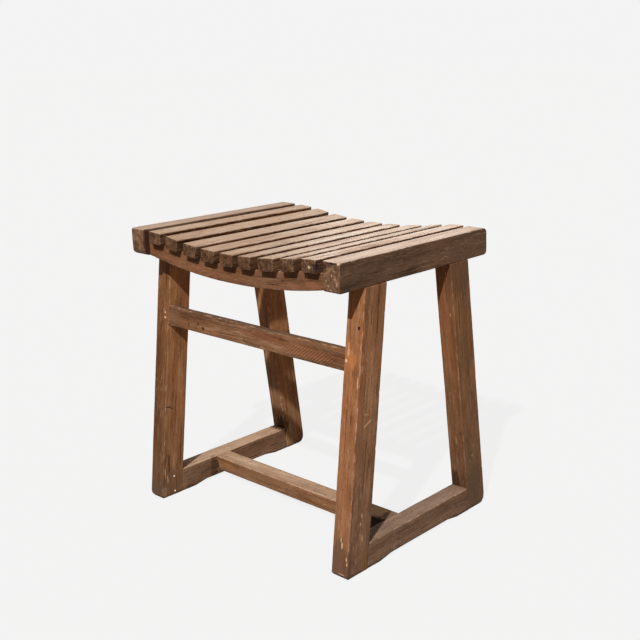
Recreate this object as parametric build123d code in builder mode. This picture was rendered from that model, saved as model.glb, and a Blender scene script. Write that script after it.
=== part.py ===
from build123d import *
import os

# A slatted wooden stool with a dished seat, in millimetres.
# X runs across the slats, Y along them, and Z is up. The origin is on the floor,
# under the middle of the seat. The front of the stool faces -Y.

# Seat over all
seat_width = 442.0
seat_length = 328.0
seat_height = 450.0

# Outer rails: the two tall slats that frame the seat and carry the leg tenons
outer_rail_thickness = 30.0
outer_rail_height = 42.0
outer_rail_corner_radius = 4.0

# Slats: the widths are uneven, as sawn by hand, and some slats sit off the even pitch
slat_width = 27.0
slat_thickness = 19.0
slat_width_shares = (0.96, 1.02, 1.04, 1.04, 1.0, 0.94, 1.1, 0.96, 0.98)
slat_shift_shares = (0, 0, 0.06, -0.03, -0.08, -0.24, -0.08, 0, 0.04)

# Dish of the seat: a hollow in the middle that turns over and levels out at the rails
dish_depth = 14.0
dish_start_drop = 1.0
dish_turn_distance = 125.0

# Bearers: the curved bars under the slat ends
bearer_thickness = 22.0
bearer_height = 26.5
bearer_setback = 10.5
bearer_tenon_length = 12.0
bearer_tenon_thickness = 10.0
bearer_tenon_shoulder = 4.0

# Legs: splayed to front and back only, flush with the outer rails
leg_thickness = 30.0
leg_depth = 42.0
leg_setback = 50.0
leg_heel_radius = 9.0
leg_tenon_length = 24.0
leg_tenon_thickness = 10.0
leg_tenon_shoulder = 6.0

# Bottom rails: they stand on the floor between the feet of each side
bottom_rail_height = 39.0
bottom_rail_pad_length = 72.0
bottom_rail_relief = 4.0
bottom_rail_ramp = 24.0
bottom_rail_tenon_length = 30.0
bottom_rail_tenon_thickness = 10.0
bottom_rail_tenon_shoulder = 3.0

# Cross stretcher: the low bar between the bottom rails, in front of their middle
cross_stretcher_width = 30.0
cross_stretcher_height = 24.0
cross_stretcher_forward = 31.5
cross_stretcher_tenon_length = 18.0
cross_stretcher_tenon_height = 10.0
cross_stretcher_tenon_shoulder = 6.0

# Upper stretcher: the bar between the two front legs, flush with their front faces
upper_stretcher_height = 31.0
upper_stretcher_thickness = 14.0
upper_stretcher_level = 305.5
upper_stretcher_tenon_length = 20.0
upper_stretcher_tenon_thickness = 8.0
upper_stretcher_tenon_shoulder = 5.0

# Steel pins, driven flush through the tenons
pin_head_diameter = 4.2
pin_head_height = 1.0
pin_shank_diameter = 2.4
pin_length = 24.0
foot_pin_heights = (6.5, 32.5)
foot_pin_past_shoulder = 19.8
upper_pin_rise = 4.2
upper_pin_left_inset = 8.5
upper_pin_right_inset = 4.0

# Countersunk screws that hold each slat from under the bearers
screw_shank_diameter = 3.5
screw_head_diameter = 7.0
screw_head_height = 2.6
screw_grip = 23.5
screw_bite = 12.0
screw_tip_length = 3.0

# Fits and edges
tenon_clearance = 0.2
mortise_relief = 1.0
hole_clearance = 0.15
slat_edge_radius = 1.0
timber_edge_radius = 1.4
cut_overrun = 5.0

# Places that follow from the sizes above
sides = {"left": -1, "right": 1}
ends = {"front": -1, "back": 1}
half_width = seat_width / 2
half_length = seat_length / 2
inner_half_width = half_width - outer_rail_thickness
outer_rail_middle = half_width - outer_rail_thickness / 2
rail_underside = seat_height - outer_rail_height
leg_inner_face = half_width - leg_thickness
leg_middle = half_width - leg_thickness / 2
leg_splay = leg_setback / rail_underside
bearer_middle = half_length - bearer_setback - bearer_thickness / 2
slat_count = len(slat_width_shares)
slat_gap = (2 * inner_half_width - slat_count * slat_width) / (slat_count + 1)
slat_pitch = slat_width + slat_gap
dish_steepest_slope = 2 * dish_depth / inner_half_width


def dish_height(x):
    """Height of the dished seat surface at a distance across the seat."""
    distance = abs(x)
    middle_height = seat_height - dish_start_drop - dish_depth
    hollow = min(distance, dish_turn_distance)
    rise = dish_steepest_slope * hollow**2 / (2 * dish_turn_distance)
    beyond = max(distance - dish_turn_distance, 0)
    level_run = inner_half_width - dish_turn_distance
    rise += dish_steepest_slope * (beyond - beyond**2 / (2 * level_run))
    return middle_height + rise


def dish_slope(x):
    """Slope of the dished seat surface at a distance across the seat."""
    distance = abs(x)
    if distance < dish_turn_distance:
        slope = dish_steepest_slope * distance / dish_turn_distance
    else:
        level_run = inner_half_width - dish_turn_distance
        slope = dish_steepest_slope * (inner_half_width - distance) / level_run
    return slope if x > 0 else -slope


def leg_face(height):
    """Distance of a leg's outer face from the middle of the stool, at a height."""
    return half_length - leg_splay * height


def leg_plane(side, end):
    """Plane through the middle of a leg's thickness, with its X pointing outwards."""
    return Plane(origin=(side * leg_middle, 0, 0), x_dir=(0, end, 0), z_dir=(end, 0, 0))


def rectangle_between(low, high):
    """Rectangle in the sketch from one corner to the other."""
    middle = ((low[0] + high[0]) / 2, (low[1] + high[1]) / 2)
    with Locations(middle):
        Rectangle(high[0] - low[0], high[1] - low[1])


def pin():
    """One steel pin, its head at the place's origin and its point along +Z."""
    bottom = (Align.CENTER, Align.CENTER, Align.MIN)
    Cylinder(pin_head_diameter / 2, pin_head_height, align=bottom)
    Cylinder(pin_shank_diameter / 2, pin_length, align=bottom)


def pin_hole():
    """Hole that one steel pin fills."""
    bottom = (Align.CENTER, Align.CENTER, Align.MIN)
    head_radius = pin_head_diameter / 2 + hole_clearance
    shank_radius = pin_shank_diameter / 2 + hole_clearance
    Cylinder(head_radius, pin_head_height + hole_clearance, align=bottom, mode=Mode.SUBTRACT)
    Cylinder(shank_radius, pin_length + hole_clearance, align=bottom, mode=Mode.SUBTRACT)


def finish(builder, name):
    """Label a finished piece and write it."""
    builder.part.label = name
    export_step(builder.part, f"parts/{name}.step")


os.makedirs("parts", exist_ok=True)


# Slat places: the middle of each slat's top, with local Z square to the slat
slat_widths = [share * slat_width for share in slat_width_shares]
slat_planes = []
for index, shift in enumerate(slat_shift_shares):
    slat_x = -inner_half_width + slat_gap + slat_width / 2 + index * slat_pitch + shift * slat_gap
    slat_slope = dish_slope(slat_x)
    slat_planes.append(
        Plane(
            origin=(slat_x, 0, dish_height(slat_x)),
            x_dir=(1, 0, slat_slope),
            z_dir=(-slat_slope, 0, 1),
        )
    )


def screw_plane(slat_plane, end_sign):
    """Plane at a screw's head under the front or back end of a slat, its Z up the screw."""
    head_depth = slat_thickness + screw_grip
    return Plane(
        origin=slat_plane.from_local_coords((0, end_sign * bearer_middle, -head_depth)),
        x_dir=slat_plane.x_dir,
        z_dir=slat_plane.z_dir,
    )


def screw(extra, mode):
    """Countersunk screw from its head up, or its hole with some extra all round."""
    bottom = (Align.CENTER, Align.CENTER, Align.MIN)
    shank_radius = screw_shank_diameter / 2 + extra
    shank_length = screw_grip + screw_bite - screw_tip_length
    Cone(
        screw_head_diameter / 2 + extra,
        shank_radius,
        screw_head_height,
        align=bottom,
        mode=mode,
    )
    Cylinder(shank_radius, shank_length, align=bottom, mode=mode)
    with Locations((0, 0, shank_length)):
        Cone(shank_radius, extra, screw_tip_length + extra, align=bottom, mode=mode)


# Slats
for index, slat_plane in enumerate(slat_planes):
    with BuildPart(slat_plane) as slat:
        Box(
            slat_widths[index],
            seat_length,
            slat_thickness,
            align=(Align.CENTER, Align.CENTER, Align.MAX),
        )
        fillet(slat.edges(), slat_edge_radius)
    with BuildPart() as drilled_slat:
        add(slat.part)
        for end_sign in ends.values():
            with Locations(screw_plane(slat_plane, end_sign)):
                screw(hole_clearance, Mode.SUBTRACT)
    finish(drilled_slat, f"seat_slat_{index + 1}")


# Slat screws, one group for each bearer
for end, end_sign in ends.items():
    with BuildPart() as screws:
        for slat_plane in slat_planes:
            with Locations(screw_plane(slat_plane, end_sign)):
                screw(0, Mode.ADD)
    finish(screws, f"slat_screws_{end}")


# Bearers: a flat under each slat on top, one long curve below
bearer_end_top = dish_height(inner_half_width) - slat_thickness
bearer_middle_bottom = dish_height(0) - slat_thickness - bearer_height
bearer_tenon_bottom = rail_underside + bearer_tenon_shoulder
bearer_tenon_top = bearer_end_top - bearer_tenon_shoulder

bearer_top_points = [(-inner_half_width, bearer_end_top)]
for width, slat_plane in zip(slat_widths, slat_planes):
    for corner_x in (-width / 2, width / 2):
        corner = slat_plane.from_local_coords((corner_x, 0, -slat_thickness))
        bearer_top_points.append((corner.X, corner.Z))
bearer_top_points.append((inner_half_width, bearer_end_top))

for end, end_sign in ends.items():
    bearer_plane = Plane(
        origin=(0, end_sign * bearer_middle, 0), x_dir=(1, 0, 0), z_dir=(0, -1, 0)
    )
    with BuildPart() as bearer:
        with BuildSketch(bearer_plane):
            with BuildLine():
                Polyline(*bearer_top_points)
                Line((inner_half_width, bearer_end_top), (inner_half_width, rail_underside))
                ThreePointArc(
                    (inner_half_width, rail_underside),
                    (0, bearer_middle_bottom),
                    (-inner_half_width, rail_underside),
                )
                Line((-inner_half_width, rail_underside), (-inner_half_width, bearer_end_top))
            make_face()
        extrude(amount=bearer_thickness / 2, both=True)
        fillet(bearer.edges().filter_by(GeomType.CIRCLE), timber_edge_radius)
        with BuildSketch(bearer_plane):
            for side in sides.values():
                root = side * (inner_half_width - bearer_tenon_length)
                tip = side * (inner_half_width + bearer_tenon_length)
                low = (min(root, tip), bearer_tenon_bottom)
                high = (max(root, tip), bearer_tenon_top)
                rectangle_between(low, high)
        extrude(amount=bearer_tenon_thickness / 2, both=True)
        for slat_plane in slat_planes:
            with Locations(screw_plane(slat_plane, end_sign)):
                screw(hole_clearance, Mode.SUBTRACT)
                Cylinder(
                    screw_head_diameter / 2 + hole_clearance,
                    bearer_height,
                    align=(Align.CENTER, Align.CENTER, Align.MAX),
                    mode=Mode.SUBTRACT,
                )
    finish(bearer, f"bearer_{end}")


# Outer rails, with mortises for the legs below and for the bearers inside
for side, side_sign in sides.items():
    rail_plane = Plane(
        origin=(side_sign * outer_rail_middle, 0, 0), x_dir=(0, 1, 0), z_dir=(1, 0, 0)
    )
    with BuildPart() as outer_rail:
        with BuildSketch(rail_plane):
            with Locations((0, rail_underside + outer_rail_height / 2)):
                RectangleRounded(seat_length, outer_rail_height, outer_rail_corner_radius)
        extrude(amount=outer_rail_thickness / 2, both=True)
        fillet(outer_rail.faces().filter_by(Axis.X).edges(), timber_edge_radius)
        for end_sign in ends.values():
            mortise_top = rail_underside + leg_tenon_length + mortise_relief
            mortise_start = rail_underside - cut_overrun
            front_edge = leg_tenon_shoulder - tenon_clearance
            back_edge = leg_depth - front_edge
            with BuildSketch(leg_plane(side_sign, end_sign)):
                with BuildLine():
                    Polyline(
                        (leg_face(mortise_start) - front_edge, mortise_start),
                        (leg_face(mortise_top) - front_edge, mortise_top),
                        (leg_face(mortise_top) - back_edge, mortise_top),
                        (leg_face(mortise_start) - back_edge, mortise_start),
                        close=True,
                    )
                make_face()
            extrude(
                amount=leg_tenon_thickness / 2 + tenon_clearance,
                both=True,
                mode=Mode.SUBTRACT,
            )
            bearer_plane = Plane(
                origin=(0, end_sign * bearer_middle, 0), x_dir=(1, 0, 0), z_dir=(0, -1, 0)
            )
            with BuildSketch(bearer_plane):
                mouth = side_sign * (inner_half_width - cut_overrun)
                depth = bearer_tenon_length + mortise_relief
                bottom = side_sign * (inner_half_width + depth)
                low = (min(mouth, bottom), bearer_tenon_bottom - tenon_clearance)
                high = (max(mouth, bottom), bearer_tenon_top + tenon_clearance)
                rectangle_between(low, high)
            extrude(
                amount=bearer_tenon_thickness / 2 + tenon_clearance,
                both=True,
                mode=Mode.SUBTRACT,
            )
    finish(outer_rail, f"outer_rail_{side}")


# Upper stretcher section: its plane leans with the front legs
upper_plane = Plane(
    origin=(0, -leg_face(upper_stretcher_level), upper_stretcher_level),
    x_dir=(0, 1, -leg_splay),
    z_dir=(1, 0, 0),
)
upper_tenon_height = upper_stretcher_height - 2 * upper_stretcher_tenon_shoulder
upper_tenon_front = (upper_stretcher_thickness - upper_stretcher_tenon_thickness) / 2
upper_tenon_low = (upper_tenon_front, -upper_tenon_height / 2)
upper_tenon_high = (upper_tenon_front + upper_stretcher_tenon_thickness, upper_tenon_height / 2)

# Pins through the upper stretcher's tenons, from the front of the legs
upper_pin_points = {
    "left": [
        (-leg_inner_face - upper_pin_left_inset, upper_pin_rise),
        (-leg_inner_face - upper_pin_left_inset, -upper_pin_rise),
    ],
    "right": [(leg_inner_face + upper_pin_right_inset, 0)],
}
upper_pin_places = {
    side: [
        Plane(
            origin=(x, 0, 0) + upper_plane.from_local_coords((0, along_leg, 0)),
            x_dir=(1, 0, 0),
            z_dir=upper_plane.x_dir,
        )
        for x, along_leg in points
    ]
    for side, points in upper_pin_points.items()
}

with BuildPart() as upper_stretcher:
    with BuildSketch(upper_plane):
        rectangle_between(
            (0, -upper_stretcher_height / 2),
            (upper_stretcher_thickness, upper_stretcher_height / 2),
        )
    extrude(amount=leg_inner_face, both=True)
    fillet(upper_stretcher.edges().filter_by(Axis.X), timber_edge_radius)
    with BuildSketch(upper_plane):
        rectangle_between(upper_tenon_low, upper_tenon_high)
    extrude(amount=leg_inner_face + upper_stretcher_tenon_length, both=True)
    for places in upper_pin_places.values():
        with Locations(*places):
            pin_hole()
finish(upper_stretcher, "upper_stretcher")

for side, places in upper_pin_places.items():
    with BuildPart() as upper_pins:
        with Locations(*places):
            pin()
    finish(upper_pins, f"upper_stretcher_pins_{side}")


# Bottom rail tenons, and the pins through them from the inner face of each foot
shoulder_top = leg_face(bottom_rail_height) - leg_depth
bottom_tenon_end = shoulder_top + bottom_rail_tenon_length
bottom_tenon_top = bottom_rail_height - bottom_rail_tenon_shoulder
foot_pin_distance = shoulder_top + foot_pin_past_shoulder
foot_pin_places = {
    (side, end): [
        Plane(
            origin=(side_sign * leg_inner_face, end_sign * foot_pin_distance, z),
            x_dir=(0, 1, 0),
            z_dir=(side_sign, 0, 0),
        )
        for z in foot_pin_heights
    ]
    for side, side_sign in sides.items()
    for end, end_sign in ends.items()
}


# Legs
for side, side_sign in sides.items():
    for end, end_sign in ends.items():
        with BuildPart() as leg:
            with BuildSketch(leg_plane(side_sign, end_sign)) as leg_outline:
                with BuildLine():
                    Polyline(
                        (leg_face(0), 0),
                        (leg_face(rail_underside), rail_underside),
                        (leg_face(rail_underside) - leg_depth, rail_underside),
                        (leg_face(0) - leg_depth, 0),
                        close=True,
                    )
                make_face()
                heel = leg_outline.vertices().sort_by_distance((leg_face(0), 0))[0]
                fillet(heel, leg_heel_radius)
            extrude(amount=leg_thickness / 2, both=True)
            long_edges = leg.edges().filter_by(
                lambda edge: edge.geom_type == GeomType.LINE and edge.length > rail_underside / 2
            )
            fillet(long_edges, timber_edge_radius)
            tenon_root = rail_underside - leg_tenon_shoulder
            tenon_top = rail_underside + leg_tenon_length
            back_edge = leg_depth - leg_tenon_shoulder
            with BuildSketch(leg_plane(side_sign, end_sign)):
                with BuildLine():
                    Polyline(
                        (leg_face(tenon_root) - leg_tenon_shoulder, tenon_root),
                        (leg_face(tenon_top) - leg_tenon_shoulder, tenon_top),
                        (leg_face(tenon_top) - back_edge, tenon_top),
                        (leg_face(tenon_root) - back_edge, tenon_root),
                        close=True,
                    )
                make_face()
            extrude(amount=leg_tenon_thickness / 2, both=True)
            with BuildSketch(leg_plane(side_sign, end_sign)):
                rectangle_between(
                    (shoulder_top - cut_overrun, bottom_rail_tenon_shoulder - tenon_clearance),
                    (bottom_tenon_end + mortise_relief, bottom_tenon_top + tenon_clearance),
                )
            extrude(
                amount=bottom_rail_tenon_thickness / 2 + tenon_clearance,
                both=True,
                mode=Mode.SUBTRACT,
            )
            with Locations(*foot_pin_places[side, end]):
                pin_hole()
            if end == "front":
                mortise_reach = leg_inner_face + upper_stretcher_tenon_length + mortise_relief
                mortise_mouth = leg_inner_face - cut_overrun
                mouth_plane = upper_plane.offset(side_sign * mortise_mouth)
                with BuildSketch(mouth_plane):
                    rectangle_between(
                        (upper_tenon_low[0] - tenon_clearance, upper_tenon_low[1] - tenon_clearance),
                        (
                            upper_tenon_high[0] + tenon_clearance,
                            upper_tenon_high[1] + tenon_clearance,
                        ),
                    )
                extrude(
                    amount=side_sign * (mortise_reach - mortise_mouth),
                    mode=Mode.SUBTRACT,
                )
                with Locations(*upper_pin_places[side]):
                    pin_hole()
        finish(leg, f"leg_{end}_{side}")


# Foot pins
for (side, end), places in foot_pin_places.items():
    with BuildPart() as foot_pins:
        with Locations(*places):
            pin()
    finish(foot_pins, f"foot_pins_{end}_{side}")


# Cross stretcher section, flush with the top of the bottom rails
cross_top = bottom_rail_height
cross_bottom = cross_top - cross_stretcher_height
cross_low = (-cross_stretcher_forward - cross_stretcher_width / 2, cross_bottom)
cross_high = (-cross_stretcher_forward + cross_stretcher_width / 2, cross_top)
cross_middle_height = (cross_bottom + cross_top) / 2
cross_tenon_low = (
    cross_low[0] + cross_stretcher_tenon_shoulder,
    cross_middle_height - cross_stretcher_tenon_height / 2,
)
cross_tenon_high = (
    cross_high[0] - cross_stretcher_tenon_shoulder,
    cross_middle_height + cross_stretcher_tenon_height / 2,
)

with BuildPart() as cross_stretcher:
    with BuildSketch(Plane.YZ):
        rectangle_between(cross_low, cross_high)
    extrude(amount=leg_inner_face, both=True)
    fillet(cross_stretcher.edges().filter_by(Axis.X), timber_edge_radius)
    with BuildSketch(Plane.YZ):
        rectangle_between(cross_tenon_low, cross_tenon_high)
    extrude(amount=leg_inner_face + cross_stretcher_tenon_length, both=True)
finish(cross_stretcher, "cross_stretcher")


# Bottom rails: their ends follow the splay of the legs, and the underside is relieved
pad_end = half_length - bottom_rail_pad_length
relief_end = pad_end - bottom_rail_ramp
shoulder_bottom = leg_face(0) - leg_depth
for side, side_sign in sides.items():
    side_plane = leg_plane(side_sign, 1)
    with BuildPart() as bottom_rail:
        with BuildSketch(side_plane):
            with BuildLine():
                Polyline(
                    (-shoulder_bottom, 0),
                    (-pad_end, 0),
                    (-relief_end, bottom_rail_relief),
                    (relief_end, bottom_rail_relief),
                    (pad_end, 0),
                    (shoulder_bottom, 0),
                    (shoulder_top, bottom_rail_height),
                    (-shoulder_top, bottom_rail_height),
                    close=True,
                )
            make_face()
        extrude(amount=leg_thickness / 2, both=True)
        top_edges = bottom_rail.faces().sort_by(Axis.Z)[-1].edges().filter_by(Axis.Y)
        fillet(top_edges, timber_edge_radius)
        with BuildSketch(side_plane):
            rectangle_between(
                (-bottom_tenon_end, bottom_rail_tenon_shoulder),
                (bottom_tenon_end, bottom_tenon_top),
            )
        extrude(amount=bottom_rail_tenon_thickness / 2, both=True)
        mouth = leg_inner_face - cut_overrun
        reach = leg_inner_face + cross_stretcher_tenon_length + mortise_relief
        with BuildSketch(Plane.YZ.offset(side_sign * mouth)):
            rectangle_between(
                (cross_tenon_low[0] - tenon_clearance, cross_tenon_low[1] - tenon_clearance),
                (cross_tenon_high[0] + tenon_clearance, cross_tenon_high[1] + tenon_clearance),
            )
        extrude(amount=side_sign * (reach - mouth), mode=Mode.SUBTRACT)
        for end in ends:
            with Locations(*foot_pin_places[side, end]):
                pin_hole()
    finish(bottom_rail, f"bottom_rail_{side}")
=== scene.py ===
import math

import bpy
import numpy as np
from mathutils import Matrix, Vector


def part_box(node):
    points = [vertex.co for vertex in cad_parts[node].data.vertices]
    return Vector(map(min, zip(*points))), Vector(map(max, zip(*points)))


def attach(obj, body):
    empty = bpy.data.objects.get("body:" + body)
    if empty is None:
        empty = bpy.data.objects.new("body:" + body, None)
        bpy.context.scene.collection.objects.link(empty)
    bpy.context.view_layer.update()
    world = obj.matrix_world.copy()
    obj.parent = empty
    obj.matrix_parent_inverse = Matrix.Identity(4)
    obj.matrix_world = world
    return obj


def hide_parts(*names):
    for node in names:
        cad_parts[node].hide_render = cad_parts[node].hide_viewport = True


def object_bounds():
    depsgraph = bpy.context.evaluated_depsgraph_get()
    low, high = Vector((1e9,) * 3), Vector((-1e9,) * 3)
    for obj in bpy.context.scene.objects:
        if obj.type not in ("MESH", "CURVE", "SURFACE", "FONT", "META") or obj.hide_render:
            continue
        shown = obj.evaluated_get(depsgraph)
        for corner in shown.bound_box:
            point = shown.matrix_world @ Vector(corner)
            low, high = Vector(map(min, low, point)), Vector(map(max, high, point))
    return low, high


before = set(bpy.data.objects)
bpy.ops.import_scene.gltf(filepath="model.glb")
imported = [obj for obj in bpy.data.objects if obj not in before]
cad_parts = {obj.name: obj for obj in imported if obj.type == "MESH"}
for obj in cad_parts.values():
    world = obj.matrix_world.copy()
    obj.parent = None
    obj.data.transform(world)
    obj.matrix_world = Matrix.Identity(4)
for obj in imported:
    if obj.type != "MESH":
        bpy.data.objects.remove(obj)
cad_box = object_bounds()

# Sizes of the stool's timbers, in metres
SLAT_COUNT = 9
SLAT_THICKNESS = 0.019
RAIL_THICKNESS = 0.030
RAIL_HEIGHT = 0.042
DISH_DEPTH = 0.014
DISH_START_DROP = 0.001
DISH_TURN = 0.125
BEARER_THICKNESS = 0.022
BEARER_HEIGHT = 0.0265
BEARER_SETBACK = 0.0105
LEG_THICKNESS = 0.030
LEG_DEPTH = 0.042
LEG_SETBACK = 0.050
BOTTOM_RAIL_HEIGHT = 0.039
PAD_LENGTH = 0.072
RELIEF_HEIGHT = 0.004
RELIEF_RAMP = 0.024
CROSS_WIDTH = 0.030
CROSS_HEIGHT = 0.024
UPPER_HEIGHT = 0.031
UPPER_THICKNESS = 0.014
UPPER_LEVEL = 0.3055
HOUSING = 0.005
PIN_HEAD_RADIUS = 0.0021
PIN_HEAD_HEIGHT = 0.001
PIN_SHANK_RADIUS = 0.0012
PIN_LENGTH = 0.024
PIN_TIP_LENGTH = 0.002
SCREW_HEAD_RADIUS = 0.0035
SCREW_HEAD_HEIGHT = 0.0026
SCREW_SHANK_RADIUS = 0.00175
SCREW_LENGTH = 0.0355
SCREW_TIP_LENGTH = 0.003
SCREW_THREAD_DEPTH = 0.0004
SCREW_THREAD_PITCH = 0.0014
SCREW_SLOT_WIDTH = 0.0009
SCREW_SLOT_DEPTH = 0.001
BORE_PLAY = 0.0001

# How finely a board's surface is stepped, how its steps crowd towards its ends and arrises,
# and how much a housed end narrows past its shoulder
GRID_STEP = 0.0021
FEWEST_STEPS = 10
CROWDING = (0.75, 0.92, 0.92)
HOUSED_LOSS = 0.14
SHOULDER_STEP = 0.0008

# How worn the boards are
ARRIS_UNEVENNESS = 0.6
WAVE_DEPTH = 0.0003
CHIP_DEPTH = 0.0006

# Places that follow from the frame
HIGH = cad_box[1]
SEAT_TOP = HIGH.z
HALF_WIDTH = HIGH.x
HALF_LENGTH = HIGH.y
INNER_HALF = HALF_WIDTH - RAIL_THICKNESS
RAIL_UNDERSIDE = SEAT_TOP - RAIL_HEIGHT
LEG_INNER_FACE = HALF_WIDTH - LEG_THICKNESS
LEG_MIDDLE = HALF_WIDTH - LEG_THICKNESS / 2
SPLAY = LEG_SETBACK / RAIL_UNDERSIDE
SIDES = {"left": -1, "right": 1}
ENDS = {"front": -1, "back": 1}


def node(tree, kind, inputs=None, **settings):
    """A node of a tree, with its settings and its inputs linked or filled."""
    made = tree.nodes.new(kind)
    for name, value in settings.items():
        setattr(made, name, value)
    for name, value in (inputs or {}).items():
        fill(tree, made.inputs[name], value)
    return made


def fill(tree, socket, value):
    """Links a socket to another one, or gives it a value."""
    if isinstance(value, bpy.types.NodeSocket):
        tree.links.new(value, socket)
    else:
        socket.default_value = value


def math_of(tree, operation, *values, clamp=False):
    """The result of a Math node."""
    made = node(tree, "ShaderNodeMath", operation=operation, use_clamp=clamp)
    for socket, value in zip(made.inputs, values):
        fill(tree, socket, value)
    return made.outputs[0]


def times(tree, first, second):
    """Two values multiplied."""
    return math_of(tree, "MULTIPLY", first, second)


def minus(tree, first, second):
    """One value less another."""
    return math_of(tree, "SUBTRACT", first, second)


def vector_of(tree, operation, *values, scale=None):
    """The vector that a Vector Math node gives."""
    made = node(tree, "ShaderNodeVectorMath", operation=operation)
    for socket, value in zip(made.inputs, values):
        fill(tree, socket, value)
    if scale is not None:
        fill(tree, made.inputs["Scale"], scale)
    return made.outputs["Value" if operation in ("DOT_PRODUCT", "LENGTH", "DISTANCE") else "Vector"]


def parts_of(tree, vector):
    """The three parts of a vector."""
    return node(tree, "ShaderNodeSeparateXYZ", {0: vector}).outputs


def vector_from(tree, *parts):
    """A vector made from its three parts."""
    return node(tree, "ShaderNodeCombineXYZ", dict(enumerate(parts))).outputs[0]


def figure_of(tree, vector, stretch, detail=2.0, roughness=0.5, output=0):
    """A noise from 0 to 1, whose stretch counts its spots per metre along each axis."""
    inputs = {
        "Vector": vector_of(tree, "MULTIPLY", vector, stretch),
        "Scale": 1.0,
        "Detail": detail,
        "Roughness": roughness,
    }
    return node(tree, "ShaderNodeTexNoise", inputs).outputs[output]


def ramp_of(tree, value, start, end, low, high, kind="LINEAR"):
    """A ramp from low at start to high at end."""
    inputs = {"Value": value, "From Min": start, "From Max": end, "To Min": low, "To Max": high}
    return node(tree, "ShaderNodeMapRange", inputs, interpolation_type=kind).outputs[0]


def step_of(tree, value, start, end):
    """A smooth step from 0 at start to 1 at end."""
    return ramp_of(tree, value, start, end, 0.0, 1.0, "SMOOTHSTEP")


def growth_tree(name, sockets, result):
    """A new geometry tree with named inputs and one output, and what its inputs give.

    Each input comes with its kind or, for a number with a usual value, with that value.
    """
    tree = bpy.data.node_groups.new(name, "GeometryNodeTree")
    for label, given in sockets.items():
        kind = given if isinstance(given, str) else "Float"
        made = tree.interface.new_socket(label, in_out="INPUT", socket_type=f"NodeSocket{kind}")
        if kind != given:
            made.default_value = given
    tree.interface.new_socket(result, in_out="OUTPUT", socket_type="NodeSocketGeometry")
    return tree, node(tree, "NodeGroupInput").outputs


def kept_as(tree, geometry, name, kind, value):
    """A geometry whose points keep a value as a named attribute."""
    inputs = {"Geometry": geometry, "Name": name, "Value": value}
    keeper = node(tree, "GeometryNodeStoreNamedAttribute", inputs, data_type=kind, domain="POINT")
    return keeper.outputs[0]


def cut_from(tree, mesh, cutter):
    """A mesh with another one cut out of it."""
    cut = node(tree, "GeometryNodeMeshBoolean", operation="DIFFERENCE", solver="EXACT")
    tree.links.new(mesh, cut.inputs["Mesh 1"])
    tree.links.new(cutter, cut.inputs["Mesh 2"])
    return cut.outputs["Mesh"]


def made_real(tree, geometry):
    """A geometry whose instances are made real."""
    return node(tree, "GeometryNodeRealizeInstances", {"Geometry": geometry}).outputs[0]


def end_growth(tree, geometry, finish):
    """Ends a geometry tree: what it has grown is made real and gets its finish."""
    inputs = {"Geometry": made_real(tree, geometry), "Material": finish}
    node(tree, "NodeGroupOutput", {0: node(tree, "GeometryNodeSetMaterial", inputs).outputs[0]})


def set_at_heads(tree, heads, mesh):
    """A mesh set at each head's point and turned to its aim."""
    aim = node(tree, "GeometryNodeInputNamedAttribute", {"Name": "aim"}, data_type="FLOAT_VECTOR")
    turn = node(tree, "FunctionNodeAlignRotationToVector", {"Vector": aim.outputs[0]}, axis="Z")
    inputs = {"Points": heads, "Instance": mesh, "Rotation": turn.outputs[0]}
    return node(tree, "GeometryNodeInstanceOnPoints", inputs).outputs[0]


def placed(name, data):
    """A new object in the scene."""
    obj = bpy.data.objects.new(name, data)
    bpy.context.scene.collection.objects.link(obj)
    return obj


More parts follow.
